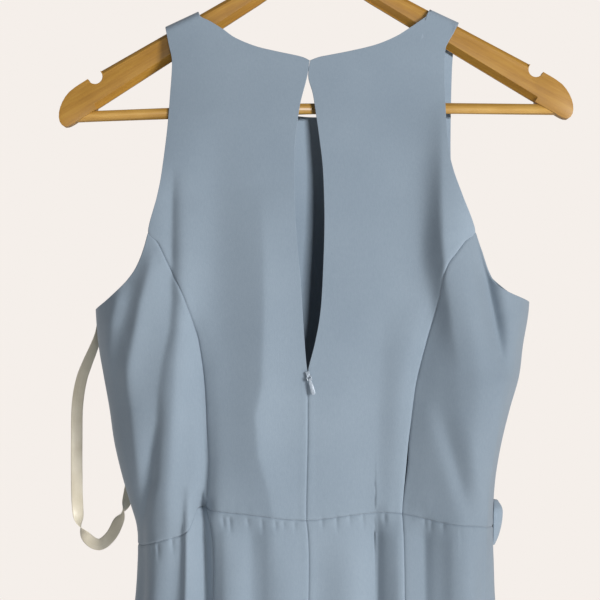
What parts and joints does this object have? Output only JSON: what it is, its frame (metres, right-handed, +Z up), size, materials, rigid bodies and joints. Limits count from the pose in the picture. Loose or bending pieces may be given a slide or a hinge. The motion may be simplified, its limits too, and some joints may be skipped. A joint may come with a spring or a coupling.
{
  "type": "sleeveless long dress on a wooden hanger",
  "caption": "Floor-length sleeveless crepe dress with a high neck, keyhole back and knotted waist, hanging on a notched wooden hanger with a trouser bar.",
  "frame": {"origin": "where the inside of the hanger's hook bears on a rail", "axes": "+Z up along the hanging dress, the dress's back faces -Y, +X to the wearer's right"},
  "size_m": [0.5641, 0.2876, 1.6575],
  "materials": {
    "crepe": "matt dusty-blue crepe",
    "satin_ribbon": "satin",
    "zip_tape": "woven tape",
    "zip_enamel": "enamelled",
    "hanger_wood": "clear satin lacquer",
    "hook_steel": "polished"
  },
  "bodies": {
    "dress": {"bodice_back_left": "crepe", "bodice_back_right": "crepe", "bodice_side_back_left": "crepe", "bodice_side_back_right": "crepe", "bodice_front": "crepe", "bodice_side_front_right": "crepe", "bodice_side_front_left": "crepe", "skirt_side_back_left": "crepe", "skirt_back_left": "crepe", "skirt_back_right": "crepe", "skirt_side_back_right": "crepe", "skirt_side_front_right": "crepe", "skirt_front": "crepe", "skirt_side_front_left": "crepe", "waist_knot": "crepe", "waist_knot_end": "crepe", "hanger_board": "hanger_wood", "hanger_bar": "hanger_wood", "hanger_hook": "hook_steel", "zip_tape": "zip_tape", "zip_slider": "zip_enamel", "neck_hook": "hook_steel", "hanging_loop": "satin_ribbon"},
    "pull_tab": {"zip_pull": "zip_enamel"}
  },
  "joints": [
    {"name": "pull_tab_swing", "type": "hinge", "parent": "dress", "child": "pull_tab", "pos_m": [-0.00245, -0.06553, -0.44944], "axis": [-0.9613, 0, -0.2756], "range_deg": [0, 140]}
  ]
}
